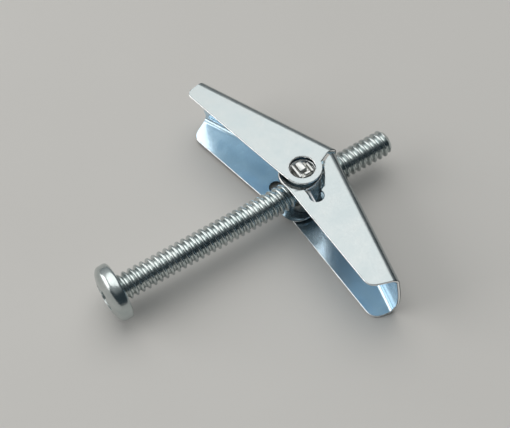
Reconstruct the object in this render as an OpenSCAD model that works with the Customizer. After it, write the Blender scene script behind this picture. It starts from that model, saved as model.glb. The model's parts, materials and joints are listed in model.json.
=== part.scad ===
// Spring toggle wall anchor for a 3/16 in machine screw. All sizes in mm.
// X runs along the screw from head to tip, Z is the trunnion axis, Y is the wing span.
// The origin is the centre of the head's bearing face.

/* [Screw] */
// diameter over the thread crests
thread_d = 4.5; // [4.2:0.05:4.7]
// length under the head
screw_l = 49.8; // [48:0.2:56]
// head diameter
head_d = 9.4; // [9:0.1:10.4]
// head height to the top of the dome
head_h = 2.8; // [2.7:0.1:3.4]
// height of the domed part of the head
dome_h = 1.3; // [1.1:0.1:1.6]
// width of the straight slot of the combination recess
slot_w = 1.2; // [1:0.1:1.5]
// depth of the slot
slot_depth = 1.2; // [1:0.1:1.5]
// width of the cross arms
cross_w = 1.4; // [1.2:0.1:1.7]
// span of the cross arms
cross_span = 4.2; // [4:0.1:5]
// length of the straight slot
slot_l = 5.2; // [4.8:0.1:5.6]
// depth of the cross
cross_depth = 1.8; // [1.5:0.1:2]

/* [Nut] */
// distance of the trunnion axis from the head's bearing face
pivot_x = 33.6; // [30:0.1:38]
// radius of the nut body about the trunnion axis
nut_r = 2.9; // [2.8:0.1:3.5]
// length of the nut along the screw
nut_l = 5.2; // [5:0.2:6]
// half height of the nut body
nut_half_h = 3.1; // [2.9:0.1:3.1]
// lug size along the screw
lug_x = 2.7; // [2.4:0.1:2.7]
// lug size across the screw
lug_y = 3.0; // [2.6:0.1:3]

/* [Wings] */
// sheet thickness
sheet_t = 0.5; // [0.4:0.05:0.5]
// height of the outer cheek's face above the screw axis
outer_h = 5.65; // [5.6:0.05:5.9]
// depth of the step pressed into the inner ear
step_h = 0.45; // [0.3:0.05:0.45]
// outside radius of the bends along the web
bend_r = 1.4; // [1.1:0.1:1.6]
// arm length from the trunnion axis
arm_l = 24.2; // [22:0.2:26]
// front edge to trunnion axis, outer cheek
front_outer = 3.15; // [3:0.05:3.4]
// front edge to trunnion axis, inner cheek
front_inner = 3.85; // [3.6:0.05:4]
// web to trunnion axis
web_offset = 6.2; // [6:0.1:6.6]
// taper between the web and the front edges
taper = 13; // [11:0.5:14]
// ear radius
ear_r = 3.15; // [3:0.05:3.3]
// trunnion hole radius
hole_r = 2.1; // [2.1:0.05:2.2]
// angle between the screw and the left wing's front edge, wing open
left_open = 79.2; // [76:0.2:82]
// angle between the screw and the right wing's front edge, wing open
right_open = 90.9; // [86:0.2:91]

/* [Spring] */
// wire diameter
wire_d = 0.44; // [0.36:0.02:0.44]
// mean coil radius
coil_r = 2.6; // [2.5:0.05:2.7]

/* [Hidden] */
$fn = 96;
nest_gap = 0.05;                               // play between nested cheeks
inner_h = outer_h - sheet_t - nest_gap;        // face of the inner cheek
inner_ear_h = inner_h - step_h;                // face of the stepped ear
boss_h = inner_ear_h - sheet_t - nest_gap;     // shoulder the inner ears ride on
bore_clear = 0.05;
screw_pass = 3.3;                              // half height of the web's screw cut-out
big = 60;

// a sector of a full turn, used to keep part of a revolved shape
module wedge(from, to) {
    linear_extrude(big, center = true)
        polygon(concat([[0, 0]], [for (i = [0:6]) let (a = from + (to - from) * i / 6) 12 * [cos(a), sin(a)]]));
}

// ---- machine screw ----
module head_blank() {
    r = head_d / 2;
    dome_r = (r * r + dome_h * dome_h) / (2 * dome_h);
    edge = 0.5;
    rotate([0, -90, 0]) rotate_extrude() intersection() {
        translate([0, head_h - dome_r]) circle(dome_r, $fn = 180);
        union() {
            square([r - edge, head_h + 1]);
            translate([0, edge]) square([r, head_h + 1]);
            translate([r - edge, edge]) circle(edge);
        }
        square([big, big]);
    }
}
module drive_recess() {
    translate([-head_h - 1, -slot_w / 2, -slot_l / 2]) cube([1 + slot_depth, slot_w, slot_l]);
    translate([-head_h - 1, -cross_span / 2, -cross_w / 2]) cube([1 + cross_depth, cross_span, cross_w]);
    translate([-head_h - 1, -cross_w / 2, -cross_span / 2]) cube([1 + cross_depth, cross_w, cross_span]);
}
module machine_screw() {
    tip = 0.5;
    color("Silver") {
        rotate([-77, 0, 0]) difference() { head_blank(); drive_recess(); }
        rotate([0, 90, 0]) translate([0, 0, -0.3]) cylinder(d = thread_d, h = screw_l - tip + 0.3);
        rotate([0, 90, 0]) translate([0, 0, screw_l - tip])
            cylinder(d1 = thread_d, d2 = thread_d - 2 * tip, h = tip);
    }
}

// ---- trunnion nut ----
module lug() {
    top = outer_h - 0.1;
    plate = 0.42;
    difference() {
        translate([-lug_x / 2, -lug_y / 2, 0]) cube([lug_x, lug_y, top]);
        for (s = [-1, 1])
            translate([s * (lug_x / 2 - plate - 0.16) - 0.16, -big / 2, top - 0.55]) cube([0.32, big, 1]);
        translate([-0.6, -lug_y / 2 - 1, top - 0.55]) cube([1.2, 1.7, 1]);
    }
}
module trunnion_nut() {
    color("Gray") translate([pivot_x, 0, 0]) difference() {
        union() {
            intersection() {
                cylinder(r = nut_r, h = 2 * nut_half_h, center = true);
                cube([nut_l, big, big], center = true);
            }
            cylinder(r = 2.2, h = 2 * boss_h, center = true);
            lug();
            rotate([180, 0, 0]) lug();
        }
        rotate([0, 90, 0]) cylinder(d = thread_d + 2 * bore_clear, h = big, center = true);
    }
}

// ---- wing, in its own frame: arm along +X, web on -Y, outer cheek on +Z ----
module u_section(inset) {
    r = bend_r - inset;
    top = outer_h - inset;
    low = -inner_h + inset;
    translate([bend_r, low]) square([big, top - low]);
    translate([inset, low + r]) square([big, top - low - 2 * r]);
    translate([bend_r, low + r]) circle(r);
    translate([bend_r, top - r]) circle(r);
}
module channel() {
    rotate([0, 0, taper]) translate([-5, -web_offset, 0]) rotate([90, 0, 90]) linear_extrude(36)
        difference() { u_section(0); u_section(sheet_t); }
}
module rounded_corner_cut(x, y, r) {
    translate([x - r, y - r]) difference() { square(r + 2); circle(r); }
}
module outer_outline() {
    difference() {
        union() {
            difference() {
                polygon([[-1.2, -2.9], [-0.7, -4.9], [-1, -7], [arm_l, -7], [arm_l, front_outer], [0, front_outer]]);
                rounded_corner_cut(arm_l, front_outer, 1.3);
            }
            circle(ear_r);
        }
        circle(hole_r);
    }
}
module inner_outline() {
    slant = 1.2;
    notch = [5.4, 1];
    difference() {
        polygon([[0, -7], [0.15, -5.1], [0.75, -3.7], [2.5, -2.5], [4.5, -1.1], notch, [3.5, 1.95],
                 [0, front_inner], [arm_l - slant, front_inner], [arm_l + 0.3, -0.4], [arm_l + 0.3, -7]]);
        translate(notch) circle(1.18);
        polygon([[2.9, -2.2], [4.65, -0.9], [4.3, 1.1], [3.4, 2]]);
        intersection() { circle(4.05); translate([-big, 1]) square(2 * big); }
        rounded_corner_cut(arm_l - slant + 0.05, front_inner, 1.2);
    }
}
module stepped_ear() {
    low = -inner_ear_h;
    translate([0, 0, low]) linear_extrude(sheet_t) difference() {
        union() { circle(ear_r); translate([0.25, 0.7]) circle(ear_r); }
        circle(hole_r);
    }
    intersection() {
        wedge(30, 88);
        rotate_extrude() polygon([
            [2.8, low], [3.25, low], [4.05, -inner_h], [4.2, -inner_h],
            [4.2, -inner_h + sheet_t], [4.05, -inner_h + sheet_t], [3.25, low + sheet_t], [2.8, low + sheet_t]]);
    }
}
module wing() {
    difference() {
        union() {
            intersection() { channel(); linear_extrude(big) outer_outline(); }
            intersection() { channel(); translate([0, 0, -big]) linear_extrude(big) inner_outline(); }
            stepped_ear();
        }
        translate([-big / 2, -big / 2 - 4.2, 0]) cube([big + 5.4, big, 2 * screw_pass], center = true);
        translate([0, 0, -big - inner_h]) cube([big, big, 2 * big], center = true);
    }
}
module left_wing() {
    color("Gainsboro") translate([pivot_x, 0, 0]) rotate([0, 0, 180 - left_open]) wing();
}
module right_wing() {
    color("Gainsboro") translate([pivot_x, 0, 0]) rotate([180, 0, 0]) rotate([0, 0, 180 - right_open]) wing();
}

// ---- torsion spring: one turn round the boss and one leg into each wing ----
module bar(a, b) {
    d = b - a;
    translate(a) rotate(atan2(d[1], d[0])) translate([-wire_d / 2, -wire_d / 2])
        square([norm(d) + wire_d, wire_d]);
}
module leg() {
    knee = [7, coil_r - 1.4];
    bar([0, coil_r - 0.02], knee);
    bar(knee, [12, -2.2]);
}
module ring_sector(from, to) {
    intersection() {
        difference() { circle(coil_r + wire_d / 2); circle(coil_r - wire_d / 2); }
        polygon(concat([[0, 0]], [for (i = [0:6]) let (a = from + (to - from) * i / 6) 12 * [cos(a), sin(a)]]));
    }
}
module torsion_spring() {
    z_low = nut_half_h + 0.06;
    z_high = z_low + wire_d + 0.03;
    color("DimGray") translate([pivot_x, 0, 0]) {
        translate([0, 0, z_low]) linear_extrude(wire_d) union() {
            ring_sector(268 - left_open, 365);
            rotate(180 - left_open) leg();
        }
        translate([0, 0, z_high]) linear_extrude(wire_d) union() {
            ring_sector(-5, 92 + right_open);
            mirror([0, 1]) rotate(180 - right_open) leg();
        }
        translate([coil_r - wire_d / 2 + 0.03, -0.15, z_low + 0.1])
            cube([wire_d - 0.06, 0.3, z_high - z_low + wire_d - 0.2]);
    }
}

machine_screw();
trunnion_nut();
torsion_spring();
left_wing();
right_wing();
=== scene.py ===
"""Spring toggle wall anchor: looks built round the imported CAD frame."""
import json
import math

import bmesh
import bpy
from mathutils import Matrix, Vector

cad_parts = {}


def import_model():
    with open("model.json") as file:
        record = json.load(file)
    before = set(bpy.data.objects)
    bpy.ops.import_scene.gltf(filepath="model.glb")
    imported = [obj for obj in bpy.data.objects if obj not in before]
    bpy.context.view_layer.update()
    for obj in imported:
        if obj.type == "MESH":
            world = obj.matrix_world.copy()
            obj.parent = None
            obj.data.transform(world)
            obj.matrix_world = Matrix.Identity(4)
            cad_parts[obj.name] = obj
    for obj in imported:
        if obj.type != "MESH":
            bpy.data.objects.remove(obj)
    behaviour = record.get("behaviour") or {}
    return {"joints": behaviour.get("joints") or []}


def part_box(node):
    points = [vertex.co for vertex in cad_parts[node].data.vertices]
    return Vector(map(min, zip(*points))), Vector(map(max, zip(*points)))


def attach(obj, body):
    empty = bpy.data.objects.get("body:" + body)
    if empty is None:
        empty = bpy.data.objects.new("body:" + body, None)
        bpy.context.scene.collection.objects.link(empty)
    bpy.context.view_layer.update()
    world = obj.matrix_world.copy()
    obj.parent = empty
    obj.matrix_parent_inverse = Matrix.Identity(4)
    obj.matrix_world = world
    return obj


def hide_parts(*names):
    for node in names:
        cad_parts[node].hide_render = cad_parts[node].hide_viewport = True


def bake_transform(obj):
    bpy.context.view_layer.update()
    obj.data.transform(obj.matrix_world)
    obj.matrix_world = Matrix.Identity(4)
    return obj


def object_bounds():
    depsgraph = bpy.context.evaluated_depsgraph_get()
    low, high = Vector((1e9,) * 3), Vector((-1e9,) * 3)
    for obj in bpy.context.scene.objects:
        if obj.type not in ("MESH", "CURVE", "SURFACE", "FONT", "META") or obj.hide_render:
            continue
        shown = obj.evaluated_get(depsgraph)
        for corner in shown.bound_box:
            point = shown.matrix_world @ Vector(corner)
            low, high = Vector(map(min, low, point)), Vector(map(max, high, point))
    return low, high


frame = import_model()
cad_lo, cad_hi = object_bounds()

MM = 0.001
TAU = 2 * math.pi
JOINTS = {j["name"]: j for j in frame["joints"]}
PIVOT = Vector(JOINTS["left_wing_fold"]["pos_m"]) / MM      # trunnion axis, in mm

# sizes below are in mm
SHANK_R, ROOT_R, PITCH = 2.2, 1.72, 1.0583
CREST_AT, CREST_ANGLE = 2.1, math.radians(210)              # where one crest passes
SCREW_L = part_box("machine_screw")[1].x / MM
HEAD_R, HEAD_H = 4.7, 2.8
RECESS_TURN = math.radians(-77)

SHEET, OUTER_H, INNER_H, STEP = 0.5, 5.65, 5.10, 0.45
BEND_R, WEB_Y, TAPER = 1.4, -6.2, math.radians(13)
ARM, FRONT_A, FRONT_B = 24.2, 3.15, 3.85
EAR_R, HOLE_R = 3.15, 2.1
NOTCH, NOTCH_R = (5.4, 1.0), 1.18
WEB_GAP_H, WEB_GAP_X = 3.3, 2.7
LEFT_OPEN, RIGHT_OPEN = math.radians(79.2), math.radians(90.9)

WIRE_R, COIL_R = 0.22, 2.6
COIL_LOW, COIL_HIGH = 3.38, 3.85
LEG_ROOT = math.radians(26)                                 # where a leg leaves the coil, in its wing

NUT_R, NUT_HALF_L, NUT_HALF_H, BOSS_R, BOSS_H = 2.9, 2.6, 3.1, 2.2, 4.1
LUG_TOP, BORE_R = 5.5, 2.25

OUTSIDE, INSIDE, SHEARED_SHADED = 0, 1, 2                          # material slots of a wing; the sheared slot also carries painted shade round the notch
# near-white edge tint: partly wear, partly a painted highlight
# painted shade tint for the inner faces round the pivot, where shade falls under the wings
PAINTED_SHADE_TINT, WORN_HIGHLIGHT_TINT = (0.10, 0.15, 0.18, 1), (0.96, 0.97, 0.97, 1)


# ---------------------------------------------------------------- helpers
def smoothstep(t):
    t = max(0.0, min(1.0, t))
    return t * t * (3 - 2 * t)


def arc(cx, cy, r, start, end, step=7.0):
    """Points on an arc, start to end in degrees, ends included."""
    count = max(2, int(abs(end - start) / step) + 1)
    angles = [math.radians(start + (end - start) * i / count) for i in range(count + 1)]
    return [(cx + r * math.cos(a), cy + r * math.sin(a)) for a in angles]


def rough_object(name, bm):
    """An object from a bmesh, still in mm."""
    bm.normal_update()
    bmesh.ops.recalc_face_normals(bm, faces=bm.faces)
    mesh = bpy.data.meshes.new(name)
    bm.to_mesh(mesh)
    bm.free()
    piece = bpy.data.objects.new(name, mesh)
    bpy.context.scene.collection.objects.link(piece)
    return piece


def finished(piece, name, smooth=40, place=Matrix.Identity(4)):
    """Puts a piece in place, takes it from mm to metres, and sets its shading."""
    piece.data.transform(Matrix.Scale(MM, 4) @ place)
    piece.name = piece.data.name = name
    for p in piece.data.polygons:
        p.use_smooth = True
    piece.data.set_sharp_from_angle(angle=math.radians(smooth))
    return piece


def mesh_object(name, bm, smooth=40):
    return finished(rough_object(name, bm), name, smooth)


def lathe(bm, profile, segments=96):
    """Turns (x, r) points about the X axis; points with r = 0 close the shape."""
    rings = []
    for x, r in profile:
        if r < 1e-6:
            rings.append([bm.verts.new((x, 0, 0))])
        else:
            rings.append([bm.verts.new((x, r * math.cos(a), r * math.sin(a)))
                          for a in (TAU * i / segments for i in range(segments))])
    for a, b in zip(rings, rings[1:]):
        for i in range(segments):
            j = (i + 1) % segments
            corners = [a[i % len(a)], a[j % len(a)], b[j % len(b)], b[i % len(b)]]
            bm.faces.new(list(dict.fromkeys(corners)))


def box_verts(bm, size, top_scale=1.0):
    """A box centred at the origin; its +X end is scaled, to taper it."""
    made = bmesh.ops.create_cube(bm, size=1)["verts"]
    for v in made:
        k = top_scale if v.co.x > 0 else 1.0
        v.co = Vector((v.co.x * size[0], v.co.y * size[1] * k, v.co.z * size[2] * k))
    return made


def cut(piece, cutter_bm, operation="DIFFERENCE"):
    """Applies a boolean with a bmesh, all in mm."""
    tool = rough_object("cutter", cutter_bm)
    change = piece.modifiers.new("cut", "BOOLEAN")
    change.object, change.operation, change.solver = tool, operation, "MANIFOLD"
    apply_modifiers(piece)
    bpy.data.objects.remove(tool)


def apply_modifiers(piece):
    graph = bpy.context.evaluated_depsgraph_get()
    made = bpy.data.meshes.new_from_object(piece.evaluated_get(graph))
    piece.modifiers.clear()
    piece.data = made


def tube(bm, path, radius, sides=14):
    """A round wire along a path of Vectors, with domed ends."""
    tangents = [(path[min(i + 1, len(path) - 1)] - path[max(i - 1, 0)]).normalized()
                for i in range(len(path))]
    side = tangents[0].orthogonal().normalized()
    rings = []

    def ring(centre, tangent, r):
        up = tangent.cross(side).normalized()
        return [bm.verts.new(centre + r * (math.cos(a) * side + math.sin(a) * up))
                for a in (TAU * k / sides for k in range(sides))]

    dome = [(0.95, 0.3), (0.75, 0.66), (0.4, 0.92)]
    for out, r in dome:
        rings.append(ring(path[0] - tangents[0] * radius * out, tangents[0], radius * r))
    for point, tangent in zip(path, tangents):
        side = (side - side.dot(tangent) * tangent).normalized()
        rings.append(ring(point, tangent, radius))
    for out, r in reversed(dome):
        rings.append(ring(path[-1] + tangents[-1] * radius * out, tangents[-1], radius * r))
    for a, b in zip(rings, rings[1:]):
        for k in range(sides):
            j = (k + 1) % sides
            bm.faces.new((a[k], a[j], b[j], b[k]))
    bm.faces.new(rings[0])
    bm.faces.new(rings[-1])


# ---------------------------------------------------------------- screw
def thread_radius(share):
    """Radius over one pitch: a rounded crest at 0.5 between rounded roots."""
    near = 1 - abs(share - 0.5) * 2
    return ROOT_R + (SHANK_R - ROOT_R) * smoothstep((near - 0.12) / 0.74)


def threaded_shank():
    """The helical thread, closed flat inside the head and at the tip."""
    bm = bmesh.new()
    inside_head, tip_end = -0.8, SCREW_L - 0.02
    per_turn, shares = 48, (0.0, 0.1, 0.2, 0.3, 0.39, 0.46, 0.54, 0.61, 0.7, 0.8, 0.9)
    turns = int(SCREW_L / PITCH) + 4
    start = CREST_AT - PITCH * (4.5 + CREST_ANGLE / TAU)
    rows = []
    for i in range(turns * per_turn + 1):
        angle = TAU * i / per_turn
        row = []
        for share in shares:
            x = start + PITCH * (angle / TAU + share)
            r = min(thread_radius(share), ROOT_R - 0.05 + max(0.0, SCREW_L - x) * 0.9)
            row.append(bm.verts.new((x, r * math.cos(angle), r * math.sin(angle))))
        rows.append(row)
    for i in range(turns * per_turn):
        for a, b, c, d in zip(rows[i], rows[i][1:], rows[i + 1][1:], rows[i + 1]):
            bm.faces.new((a, b, c, d))
        if i + per_turn + 1 < len(rows):
            after, next_after = rows[i + per_turn], rows[i + per_turn + 1]
            bm.faces.new((rows[i][-1], after[0], next_after[0], rows[i + 1][-1]))
    for x, outward in ((inside_head, -1), (tip_end, 1)):
        geometry = bm.verts[:] + bm.edges[:] + bm.faces[:]
        split = bmesh.ops.bisect_plane(bm, geom=geometry, plane_co=(x, 0, 0), plane_no=(outward, 0, 0),
                                       clear_outer=True)
        rim = [e for e in split["geom_cut"] if isinstance(e, bmesh.types.BMEdge)]
        bmesh.ops.holes_fill(bm, edges=rim, sides=0)
    bmesh.ops.delete(bm, geom=[v for v in bm.verts if not v.link_faces], context="VERTS")
    return bm


def head_profile():
    """Bearing face, rolled lower edge, nearly upright side, soft shoulder, low dome."""
    edge, side_end, rings = 0.45, 1.6, 24
    points = [(0.0, 0.0), (0.0, HEAD_R - edge - 0.6), (0.0, HEAD_R - edge)]
    points += [(-edge + edge * math.cos(a), HEAD_R - edge + edge * math.sin(a))
               for a in (math.radians(d) for d in (22, 45, 68, 90))]
    points += [(-0.85, HEAD_R), (-1.2, HEAD_R - 0.02)]
    for i in range(1, rings + 1):
        t = i / rings
        r = (HEAD_R - 0.03) * math.cos(t * math.pi / 2) ** 0.72
        x = side_end - 0.3 + (HEAD_H - side_end + 0.3) * math.sin(t * math.pi / 2) ** 0.9
        points.append((-x, r if i < rings else 0.0))
    return points


def machine_screw():
    """The head with its slot and cross, joined to the thread."""
    bm = bmesh.new()
    lathe(bm, head_profile())
    screw = rough_object("screw", bm)
    cross_w, cross_span, cross_depth = 1.45, 4.4, 1.8
    slot_w, slot_l, slot_depth = 1.2, 5.1, 1.2
    for size, depth in (((cross_w, cross_span), cross_depth), ((cross_span, cross_w), cross_depth),
                        ((slot_w, slot_l), slot_depth)):
        cutter = bmesh.new()
        verts = box_verts(cutter, (depth * 2, size[0], size[1]), top_scale=0.8)
        for v in verts:
            v.co.x -= HEAD_H
        bmesh.ops.bevel(cutter, geom=cutter.edges[:], offset=0.12, segments=2, affect="EDGES")
        cutter.transform(Matrix.Rotation(RECESS_TURN, 4, "X"))
        cut(screw, cutter)
    cut(screw, threaded_shank(), "UNION")
    return finished(screw, "threaded_machine_screw", 42)


# ---------------------------------------------------------------- wing
def steps(low, high, step):
    """Even steps from low to high, both included, about as long as step."""
    count = max(1, int(round((high - low) / step)))
    return [low + (high - low) * i / count for i in range(count + 1)]


def rounded(corner, before, after, r, count=6):
    """A corner of an outline as a short curve."""
    c = Vector(corner)
    a = c + (Vector(before) - c).normalized() * r
    b = c + (Vector(after) - c).normalized() * r
    return [tuple(a.lerp(c, t).lerp(c.lerp(b, t), t)) for t in (i / count for i in range(count + 1))]


def web_p(x):
    return (x + WEB_Y * math.sin(TAPER)) / math.cos(TAPER)


def ear_drop(x, y):
    """How far the inner ear is pressed in."""
    rho, angle = math.hypot(x, y), math.degrees(math.atan2(y, x))
    in_ear = rho <= EAR_R + 0.05 or math.hypot(x - 0.25, y - 0.7) <= EAR_R + 0.05
    if angle < 26 and x > 0:
        return STEP if in_ear else 0.0
    return STEP * (1 - smoothstep((rho - 3.2) / 0.85))


def unfold(x, y, top):
    """Flat position of a cheek point given in plan."""
    p = x * math.cos(TAPER) + y * math.sin(TAPER)
    v = -x * math.sin(TAPER) + y * math.cos(TAPER)
    rise = v - WEB_Y
    if rise >= BEND_R:
        s = BEND_R * math.pi / 2 + rise - BEND_R
    else:
        p = (x + max(v, WEB_Y) * math.sin(TAPER)) / math.cos(TAPER)
        s = BEND_R * math.acos(max(-1.0, min(1.0, 1 - max(rise, 0) / BEND_R)))
    return (p, OUTER_H - BEND_R + s) if top else (p, BEND_R - INNER_H - s)


def fold(p, s):
    """The outer face of the folded sheet at a flat position."""
    top, low = OUTER_H - BEND_R, BEND_R - INNER_H
    past = max(s - top, low - s, 0.0)
    phi = min(past / BEND_R, math.pi / 2)
    v = WEB_Y + BEND_R * (1 - math.cos(phi)) + max(0.0, past - BEND_R * math.pi / 2)
    z = s if past == 0 else (top + BEND_R * math.sin(phi) if s > 0 else low - BEND_R * math.sin(phi))
    x = p * math.cos(TAPER) - v * math.sin(TAPER)
    y = p * math.sin(TAPER) + v * math.cos(TAPER)
    if s < 0 and past > BEND_R * math.pi / 2:
        z += ear_drop(x, y)
    return Vector((x, y, z))


def sheet_normal(p, s, h=0.02):
    """Outward normal of the folded sheet at a flat position."""
    along = fold(p + h, s) - fold(p - h, s)
    across = fold(p, s + h) - fold(p, s - h)
    return along.cross(across).normalized()


class Wing:
    """One wing: a flat blank, in p along the channel and s round its section, folded into a channel.
    corner, trim and bulge shape the tip's outline."""

    def __init__(self, corner, trim, bulge):
        self.corner, self.trim, self.bulge = corner, trim, bulge

    def outer_cheek(self):
        """Outline of the outer cheek in plan, ear end to tip."""
        path = [(-0.98, -6.3), (-0.86, -5.9), (-0.76, -5.3), (-0.72, -4.9)]
        path += arc(0, 0, EAR_R, -113, -270, 4)
        low = -0.8
        path += rounded((ARM - self.trim, FRONT_A), (0, FRONT_A), (ARM, low), self.corner, 9)
        path += [(ARM - self.trim * (y - low) / (FRONT_A - low), y)
                 for y in (1.0, 0.6, 0.2, -0.15, -0.35, -0.55, -0.72) if y < path[-1][1] - 0.1]
        return [unfold(x, y, True) for x, y in path]

    def web_tip(self):
        """The web's tip edge, slightly proud in the middle, outer bend to inner bend."""
        high, low = web_p(ARM), web_p(ARM + 0.3)
        top, bottom = OUTER_H - BEND_R, BEND_R - INNER_H
        return [(high + (low - high) * t + self.bulge * (1 - (2 * t - 1) ** 2), top + (bottom - top) * t)
                for t in (i / 12 for i in range(1, 12))]

    @staticmethod
    def inner_cheek():
        """Outline of the inner cheek in plan, tip to ear end, with its stepped ear and notch."""
        tip_back, tip_front = (ARM + 0.3, -0.4), (ARM - 1.2, FRONT_B)
        path = [(ARM + 0.3, y) for y in (-0.78, -0.7, -0.55)] + [tip_back, (ARM - 0.1, 0.75)]
        path += rounded(tip_front, tip_back, (0, FRONT_B), 1.5)
        path += [(x, FRONT_B) for x in (16, 10, 5, 2)]
        path += arc(0.25, 0.7, EAR_R, 90, 166, 4)
        path += arc(0, 0, EAR_R, 153, 346, 4)
        path += arc(0.25, 0.7, EAR_R, -25, 20)
        path += [(3.5, 2.0)]
        path += arc(NOTCH[0], NOTCH[1], NOTCH_R, 122, -112)
        path += [(4.5, -1.1), (3.5, -1.85), (2.5, -2.5), (1.5, -3.1), (0.75, -3.75)]
        path += [(0.35, -4.5), (0.15, -5.1), (0.08, -5.7), (0.05, -6.2)]
        return [unfold(x, y, False) for x, y in path]

    @staticmethod
    def web_gap():
        """The cut through the web that the screw passes."""
        low, high = web_p(0.05), web_p(-0.98)
        end = web_p(WEB_GAP_X)
        corner_r, start, stop = 0.7, (low, -WEB_GAP_H), (high, WEB_GAP_H)
        a, b = (end, -WEB_GAP_H), (end, WEB_GAP_H)
        return [start] + rounded(a, start, b, corner_r) + rounded(b, a, stop, corner_r) + [stop]

    def blank(self):
        """The flat blank, finely divided at the bends and round the ears."""
        bm = bmesh.new()
        edges = loop_edges(bm, self.outer_cheek() + self.web_tip() + self.inner_cheek() + self.web_gap())
        for top in (True, False):
            edges += loop_edges(bm, [unfold(x, y, top) for x, y in arc(0, 0, HOLE_R, 0, 353, 7)])
        bmesh.ops.triangle_fill(bm, edges=edges, use_beauty=True)
        for depth in (0.06, 0.1):
            bmesh.ops.inset_region(bm, faces=bm.faces[:], thickness=depth, use_boundary=True,
                                   use_even_offset=True)
        slice_flat(bm, bm.faces[:], 0, steps(-2, 24, 1.3))
        fine = BEND_R * math.pi / 16
        high, low = OUTER_H - BEND_R, BEND_R - INNER_H
        bends = (high, OUTER_H + 0.8), (low - BEND_R * math.pi / 2, low)
        lines = steps(bends[0][0], bends[0][1], fine) + steps(bends[1][0], bends[1][1], fine)
        lines += steps(bends[0][1] + 1, bends[0][1] + 12, 1.4)
        lines += steps(bends[1][0] - 12, bends[1][0] - 1, 1.4) + steps(low, high, 2)[1:-1]
        slice_flat(bm, bm.faces[:], 1, lines)
        centre, reach = unfold(0, 0, False), 4.4
        for axis in (0, 1):
            near = [f for f in bm.faces if all(math.dist(v.co[:2], centre) < reach + 0.8 for v in f.verts)]
            slice_flat(bm, near, axis, steps(centre[axis] - reach, centre[axis] + reach, 0.28))
        return bm

    def build(self, name, place):
        """Folds the blank, thickens it inwards with eased edges, and puts it in place."""
        flat = self.blank()
        rim = {v for e in flat.edges if e.is_boundary for v in e.verts}
        second = {e.other_vert(v) for v in rim for e in v.link_edges} - rim
        notch = unfold(NOTCH[0], NOTCH[1], False)
        at_rim, next_row, plain = (0.14, 1.0), (0.04, 0.35), (0.0, 0.0)     # ease in mm, then wear and painted highlight at the rim
        # reach and fade, in mm, of the painted shade on the inner faces round the pivot
        shade_reach, shade_fade = 4.0, 2.0
        bm = bmesh.new()
        worn_highlight = bm.verts.layers.float.new("rim")
        shade_layer = bm.verts.layers.float.new("painted_shade")
        outside, inside, facing = {}, {}, []
        for v in flat.verts:
            at, normal = fold(v.co.x, v.co.y), sheet_normal(v.co.x, v.co.y)
            ease, wear_highlight = at_rim if v in rim else (next_row if v in second else plain)
            outside[v] = bm.verts.new(at - normal * ease)
            inside[v] = bm.verts.new(at - normal * (SHEET - ease))
            outside[v][worn_highlight] = inside[v][worn_highlight] = wear_highlight
            # painted shade: inner faces darken towards the pivot, under the wings
            inside[v][shade_layer] = 1 - smoothstep((at.xy.length - shade_reach) / shade_fade)
            facing += [None, None] if v in rim else [normal, -normal]
        # the notch's cut edge and the faces touching it take the dark slot: a rougher sheared edge,
        # darkened with painted shade
        sheared_shaded = {v for v in rim if math.dist(v.co[:2], notch) < NOTCH_R + 0.1}
        for f in flat.faces:
            by_notch = sheared_shaded.intersection(f.verts)
            skin = bm.faces.new([outside[v] for v in f.verts])
            skin.material_index = SHEARED_SHADED if by_notch else OUTSIDE
            lining = bm.faces.new([inside[v] for v in reversed(f.verts)])
            lining.material_index = SHEARED_SHADED if by_notch else INSIDE
        for e in flat.edges:
            if e.is_boundary:
                a, b = e.verts
                wall = bm.faces.new((outside[a], outside[b], inside[b], inside[a]))
                wall.material_index = SHEARED_SHADED if a in sheared_shaded and b in sheared_shaded else OUTSIDE
        flat.free()
        bm.transform(place)
        piece = mesh_object(name, bm, smooth=40)
        self.shade(piece.data, [n and place.to_3x3() @ n for n in facing])
        return piece

    @staticmethod
    def shade(mesh, facing):
        """Shades the sheet by its true curvature, and its eased edges flat."""
        shades = []
        for p in mesh.polygons:
            wall = len({i % 2 for i in p.vertices}) == 2
            shades += [p.normal if wall or facing[i] is None else facing[i] for i in p.vertices]
        mesh.normals_split_custom_set(shades)


def loop_edges(bm, points):
    """A closed loop of edges through flat points, skipping points that almost coincide."""
    verts = []
    for p, s in points:
        if not verts or (verts[-1].co - Vector((p, s, 0))).length > 0.03:
            verts.append(bm.verts.new((p, s, 0)))
    if (verts[0].co - verts[-1].co).length < 0.03:
        bm.verts.remove(verts.pop())
    return [bm.edges.new((a, b)) for a, b in zip(verts, verts[1:] + verts[:1])]


def slice_flat(bm, faces, axis, values):
    """Cuts flat faces along lines where one coordinate has each value."""
    normal = Vector((1, 0, 0)) if axis == 0 else Vector((0, 1, 0))
    live = set(faces)
    for value in values:
        live = {f for f in live if f.is_valid}
        geometry = list(live | {e for f in live for e in f.edges} | {v for f in live for v in f.verts})
        done = bmesh.ops.bisect_plane(bm, geom=geometry, dist=1e-4, plane_co=normal * value,
                                      plane_no=normal)
        live |= {g for g in done["geom"] if isinstance(g, bmesh.types.BMFace)}


# ---------------------------------------------------------------- nut
def eased_box(low, high, ease=0.12, segments=3):
    """A box between two corners with rounded edges."""
    bm = bmesh.new()
    low, high = Vector(low), Vector(high)
    for v in bmesh.ops.create_cube(bm, size=1)["verts"]:
        v.co = Vector([(a + b) / 2 + c * (b - a) for a, b, c in zip(low, high, v.co)])
    bmesh.ops.bevel(bm, geom=bm.edges[:], offset=ease, segments=segments, profile=0.5, affect="EDGES")
    return bm


def turned(profile, segments=72):
    """A solid turned about the trunnion axis from (z, r) points."""
    bm = bmesh.new()
    lathe(bm, profile, segments)
    bm.transform(Matrix.Rotation(math.radians(-90), 4, "Y"))
    return bm


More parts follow.
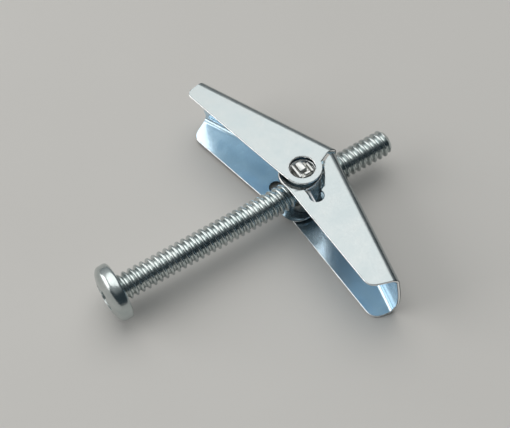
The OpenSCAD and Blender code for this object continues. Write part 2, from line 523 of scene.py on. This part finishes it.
def lug_parts(side):
    """The folded sheet of one lug: a long plate, a short plate and a tab bent in between them."""
    parts = []
    for low, high, ease in (((-1.3, -1.4, 2.4), (1.3, 1.4, 4.85), 0.15),
                            ((-1.32, -1.42, 4.2), (-0.9, 1.38, LUG_TOP), 0.13),
                            ((0.92, -1.42, 4.2), (1.32, 0.5, LUG_TOP - 0.04), 0.13),
                            ((-0.6, -0.5, 4.2), (0.62, 1.45, LUG_TOP - 0.02), 0.28),
                            ((-0.2, -1.25, 4.2), (0.85, -0.7, LUG_TOP - 0.35), 0.14)):
        bm = eased_box(low, high, ease)
        if side < 0:
            bm.transform(Matrix.Rotation(math.pi, 4, "X"))
        parts.append(bm)
    return parts


def trunnion_nut():
    """A round barrel cut to length, a boss, two lugs and a bore with eased ends."""
    ease, boss_ease = 0.35, 0.12
    barrel = [(-NUT_HALF_H, 0), (-NUT_HALF_H, NUT_R - ease), (ease * 0.3 - NUT_HALF_H, NUT_R - ease * 0.3),
              (ease - NUT_HALF_H, NUT_R)]
    barrel += [(-z, r) for z, r in reversed(barrel)]
    boss = [(-BOSS_H, 0), (-BOSS_H, BOSS_R - boss_ease), (boss_ease - BOSS_H, BOSS_R)]
    boss += [(-z, r) for z, r in reversed(boss)]
    nut = rough_object("nut", turned(barrel))
    cut(nut, eased_box((-NUT_HALF_L, -9, -9), (NUT_HALF_L, 9, 9), 0.3), "INTERSECT")
    cut(nut, turned(boss), "UNION")
    for side in (1, -1):
        for part in lug_parts(side):
            cut(nut, part, "UNION")
    bore = bmesh.new()
    lathe(bore, [(-6, 0), (-6, 3.6), (-NUT_HALF_L - 0.01, BORE_R + 0.25), (0.25 - NUT_HALF_L, BORE_R),
                 (NUT_HALF_L - 0.25, BORE_R), (NUT_HALF_L + 0.01, BORE_R + 0.25), (6, 3.6), (6, 0)], 64)
    cut(nut, bore)
    return finished(nut, "trunnion_nut_body", 42, Matrix.Translation(PIVOT))


# ---------------------------------------------------------------- spring
def spring_path(angle_start, angle_end, z_start, z_end, leg, place):
    """A leg in wing coordinates, then the coil round the trunnion axis."""
    path = [place @ Vector((x, y, 0)) for x, y in leg]
    path = [Vector((p.x, p.y, PIVOT.z + z_start)) for p in path]
    count = 60
    for i in range(count + 1):
        t = i / count
        a = math.radians(angle_start + (angle_end - angle_start) * t)
        z = z_start + (z_end - z_start) * smoothstep((t - 0.72) / 0.28)
        path.append(PIVOT + Vector((COIL_R * math.cos(a), COIL_R * math.sin(a), z)))
    return path


def leg_line():
    """A leg from its far end to the coil, bent outwards where it leaves the coil."""
    root = Vector((COIL_R * math.cos(LEG_ROOT), COIL_R * math.sin(LEG_ROOT)))
    around = Vector((-math.sin(LEG_ROOT), math.cos(LEG_ROOT)))
    elbow, knee, far = root - around * 0.12 + Vector((0.55, 0)), Vector((7.0, 1.7)), Vector((12.0, -0.6))
    points = [tuple(far.lerp(knee, i / 6)) for i in range(5)]
    points += rounded(knee, far, elbow, 1.4)
    points += [tuple(knee.lerp(elbow, i / 8)) for i in range(3, 8)]
    points += rounded(elbow - Vector((0.35, 0.0)), knee, root + around * 0.5, 0.5)[1:-1]
    return points


def torsion_spring(places):
    """Two halves that meet in the coil, each leg laid along its own wing."""
    middle = (COIL_LOW + COIL_HIGH) / 2
    halves = []
    for name, body, place, span, z in (
            ("left_spring_half", "left_wing_body", places[0],
             (180 - math.degrees(LEFT_OPEN - LEG_ROOT) + 12, 360), COIL_LOW),
            ("right_spring_half", "right_wing_body", places[1],
             (180 + math.degrees(RIGHT_OPEN - LEG_ROOT) - 12, 0), COIL_HIGH)):
        bm = bmesh.new()
        path = spring_path(span[0], span[1], z, middle, leg_line(), place)
        tube(bm, path, WIRE_R)
        half = mesh_object(name, bm, smooth=60)
        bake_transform(half)
        halves.append(half)
    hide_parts("torsion_spring")
    return halves


# ---------------------------------------------------------------- materials
class Nodes:
    """Small helper for building a node material."""

    def __init__(self, name):
        self.material = bpy.data.materials.new(name)
        self.material.use_nodes = True
        self.tree = self.material.node_tree
        self.shader = self.tree.nodes["Principled BSDF"]
        self.place = self.add("ShaderNodeTexCoord").outputs["Object"]

    def add(self, kind, inputs=None, **settings):
        node = self.tree.nodes.new(kind)
        for key, value in settings.items():
            setattr(node, key, value)
        for key, value in (inputs or {}).items():
            if isinstance(value, bpy.types.NodeSocket):
                self.tree.links.new(value, node.inputs[key])
            else:
                node.inputs[key].default_value = value
        return node

    def noise(self, scale, detail=4.0, stretch=(1, 1, 1), roughness=0.55):
        """Noise with its scale in cycles per mm."""
        mapping = self.add("ShaderNodeMapping", {"Vector": self.place})
        mapping.inputs["Scale"].default_value = [scale / MM * k for k in stretch]
        return self.add("ShaderNodeTexNoise", {"Vector": mapping.outputs[0], "Scale": 1.0,
                        "Detail": detail, "Roughness": roughness}).outputs["Fac"]

    def ramp(self, value, low, high, to_low=0.0, to_high=1.0):
        return self.add("ShaderNodeMapRange", {"Value": value, "From Min": low, "From Max": high,
                        "To Min": to_low, "To Max": to_high}).outputs["Result"]

    def mix(self, factor, a, b):
        node = self.add("ShaderNodeMix", data_type="RGBA")
        for socket, value in ((node.inputs["Factor"], factor), (node.inputs[6], a), (node.inputs[7], b)):
            if isinstance(value, bpy.types.NodeSocket):
                self.tree.links.new(value, socket)
            else:
                socket.default_value = value
        return node.outputs[2]

    def sum(self, a, b, operation="ADD"):
        node = self.add("ShaderNodeMath", operation=operation)
        for socket, value in zip(node.inputs, (a, b)):
            if isinstance(value, bpy.types.NodeSocket):
                self.tree.links.new(value, socket)
            else:
                socket.default_value = value
        return node.outputs[0]

    def bump(self, height, distance, strength=1.0, after=None):
        node = self.add("ShaderNodeBump", {"Height": height, "Distance": distance * MM,
                        "Strength": strength})
        if after is not None:
            self.tree.links.new(after, node.inputs["Normal"])
        return node.outputs["Normal"]

    def finish(self, **sockets):
        for key, value in sockets.items():
            socket = self.shader.inputs[key.replace("_", " ")]
            if isinstance(value, bpy.types.NodeSocket):
                self.tree.links.new(value, socket)
            else:
                socket.default_value = value
        return self.material


def zinc(name, light, dark, rough, wear_highlight=0.5, texture=1.0, rim=False, metal=1.0):
    """Electroplated zinc: a faint mottled tint, fine grain, scuffs, and brighter edges that are partly
    wear and partly a painted highlight.
    rim reads the wing's own rim and the painted shade near the pivot, in place of its surface's sharpness."""
    n = Nodes(name)
    cloud = n.ramp(n.noise(0.35, 5), 0.35, 0.65)
    fine = n.noise(6.0, 6, roughness=0.7)
    scuff = n.ramp(n.noise(1.6, 8, (0.25, 2.2, 1), 0.75), 0.60, 0.72)
    tint = n.mix(cloud, dark, light)
    tint = n.mix(n.ramp(fine, 0.35, 0.65, 0.0, 0.5), tint, dark)
    if rim:
        # painted shade: inner faces darken towards the pivot, under the wings
        painted_shade = n.add("ShaderNodeAttribute", attribute_name="painted_shade").outputs["Fac"]
        tint = n.mix(n.ramp(painted_shade, 0.0, 1.0, 0.0, 0.75), tint, PAINTED_SHADE_TINT)
        at_rim = n.add("ShaderNodeAttribute", attribute_name="rim").outputs["Fac"]
        edge = n.ramp(at_rim, 0.1, 1.0, 0.0, wear_highlight)
    else:
        edge = n.ramp(n.add("ShaderNodeNewGeometry").outputs["Pointiness"], 0.53, 0.66, 0.0, wear_highlight)
    # edges brightened towards near white: partly wear, partly a painted highlight
    tint = n.mix(edge, tint, WORN_HIGHLIGHT_TINT)
    roughness = n.sum(n.ramp(cloud, 0, 1, rough - 0.04, rough + 0.05), n.ramp(fine, 0.3, 0.7, -0.03, 0.05))
    roughness = n.sum(roughness, n.sum(scuff, 0.10, "MULTIPLY"))
    normal = n.bump(fine, 0.012 * texture, 0.6)
    normal = n.bump(n.noise(0.9, 3), 0.03 * texture, 0.5, after=normal)
    return n.finish(Base_Color=tint, Metallic=metal, Roughness=roughness, Normal=normal)


def floor_material():
    """Plain pale paper."""
    n = Nodes("matte_paper")
    tint = n.mix(n.ramp(n.noise(0.012, 3), 0.3, 0.7), (0.615, 0.598, 0.573, 1), (0.643, 0.626, 0.601, 1))
    return n.finish(Base_Color=tint, Roughness=n.ramp(n.noise(0.5, 3), 0.3, 0.7, 0.8, 0.9),
                    Specular_IOR_Level=0.15)


def dress(piece, *materials):
    """Gives a piece its materials and keeps each face's slot."""
    kept = [p.material_index for p in piece.data.polygons]
    piece.data.materials.clear()
    for material in materials:
        piece.data.materials.append(material)
    for p, index in zip(piece.data.polygons, kept):
        p.material_index = min(index, len(materials) - 1)


# ---------------------------------------------------------------- stage
def floor():
    """A plain floor just under the lowest point of the part."""
    half, gap = 1.2, 0.01
    bm = bmesh.new()
    bmesh.ops.create_grid(bm, x_segments=8, y_segments=8, size=half / MM)
    for v in bm.verts:
        v.co.z += cad_lo.z / MM - gap
    piece = mesh_object("floor", bm)
    dress(piece, floor_material())


def soft_light(name, direction, distance, size, power, colour):
    """A square area light that faces the part from a direction."""
    data = bpy.data.lights.new(name, "AREA")
    data.shape, data.size, data.energy, data.color = "SQUARE", size, power, colour
    light = bpy.data.objects.new(name, data)
    centre = (cad_lo + cad_hi) / 2
    toward = Vector(direction).normalized()
    light.location = centre + toward * distance
    light.rotation_mode = "QUATERNION"
    light.rotation_quaternion = toward.to_track_quat("Z", "Y")
    bpy.context.scene.collection.objects.link(light)


def world():
    """A dim room that brightens towards the overhead light."""
    sky = bpy.data.worlds.new("studio")
    sky.use_nodes = True
    tree = sky.node_tree
    back = tree.nodes["Background"]
    coord = tree.nodes.new("ShaderNodeTexCoord")
    facing = tree.nodes.new("ShaderNodeVectorMath")
    facing.operation = "DOT_PRODUCT"
    facing.inputs[1].default_value = Vector((0.0, 0.5, 0.866))
    ramp = tree.nodes.new("ShaderNodeValToRGB")
    tree.links.new(coord.outputs["Generated"], facing.inputs[0])
    tree.links.new(facing.outputs["Value"], ramp.inputs[0])
    tree.links.new(ramp.outputs[0], back.inputs["Color"])
    dim, lit = ramp.color_ramp.elements
    dim.position, dim.color = 0.25, (0.04, 0.055, 0.065, 1)
    lit.position, lit.color = 0.95, (0.62, 0.64, 0.64, 1)
    back.inputs["Strength"].default_value = 1.0
    bpy.context.scene.world = sky


def camera():
    """The fitted viewpoint, in metres."""
    position = Vector((-21.76, -89.00, 154.37)) * MM
    forward, up = Vector((0.2512, 0.4834, -0.8386)), Vector((0.4709, 0.6959, 0.5422))
    right = forward.cross(up).normalized()
    up = right.cross(forward).normalized()
    data = bpy.data.cameras.new("camera")
    data.lens, data.sensor_width = 81.92, 36
    data.clip_start, data.clip_end = 0.005, 10
    eye = bpy.data.objects.new("camera", data)
    eye.matrix_world = Matrix((right, up, -forward)).transposed().to_4x4()
    eye.location = position
    bpy.context.scene.collection.objects.link(eye)
    bpy.context.scene.camera = eye


# ---------------------------------------------------------------- assembly
def main():
    camera()
    world()
    floor()
    soft_light("key", (0.19, 0.26, 0.94), 0.85, 0.85, 2.95, (1, 0.985, 0.96))
    soft_light("side", (-0.79, 0.46, 0.38), 0.7, 0.6, 2.3, (1, 0.985, 0.97))
    bpy.context.scene.view_settings.view_transform = "Standard"

    at_pivot = Matrix.Translation(PIVOT)
    left = at_pivot @ Matrix.Rotation(math.pi - LEFT_OPEN, 4, "Z")
    right = at_pivot @ Matrix.Rotation(math.pi, 4, "X") @ Matrix.Rotation(math.pi - RIGHT_OPEN, 4, "Z")

    sheet_metal = zinc("zinc_sheet", (0.41, 0.44, 0.445, 1), (0.345, 0.385, 0.395, 1), 0.19, wear_highlight=1.0,
                       rim=True)
    # painted light: the inner faces get a brighter, bluer copy of the sheet's zinc, standing in for the
    # light and reflections inside the channel
    inside_painted_light = zinc("zinc_sheet_inside_painted_light", (0.70, 0.87, 0.98, 1), (0.62, 0.80, 0.93, 1), 0.19, wear_highlight=1.0,
                        rim=True, metal=0.8)
    # the notch's zinc: rough as a sheared edge, dark as painted shade
    sheared_shaded_metal = zinc("zinc_sheared_edge_painted_shade", (0.13, 0.16, 0.18, 1), (0.09, 0.12, 0.14, 1), 0.42, wear_highlight=0.0)
    screw_metal = zinc("zinc_screw", (0.62, 0.655, 0.645, 1), (0.45, 0.50, 0.50, 1), 0.20, texture=0.8)
    nut_metal = zinc("zinc_nut", (0.42, 0.41, 0.37, 1), (0.26, 0.28, 0.28, 1), 0.26)
    wire_metal = zinc("spring_wire", (0.62, 0.63, 0.64, 1), (0.48, 0.50, 0.52, 1), 0.30, texture=0.5)

    screw = machine_screw()
    dress(screw, screw_metal)
    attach(screw, "screw")
    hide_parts("machine_screw")
    for name, place, body, shape in (
            ("left_wing_sheet", left, "left_wing_body", Wing(corner=1.3, trim=0.0, bulge=0.5)),
            ("right_wing_sheet", right, "right_wing_body", Wing(corner=1.9, trim=0.7, bulge=0.9))):
        piece = shape.build(name, place)
        dress(piece, sheet_metal, inside_painted_light, sheared_shaded_metal)
        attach(piece, body)
        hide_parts("left_wing" if piece.name.startswith("left") else "right_wing")
    for half in torsion_spring((left, right)):
        dress(half, wire_metal)
    nut = trunnion_nut()
    dress(nut, nut_metal)
    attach(nut, "nut")
    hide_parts("trunnion_nut")


main()
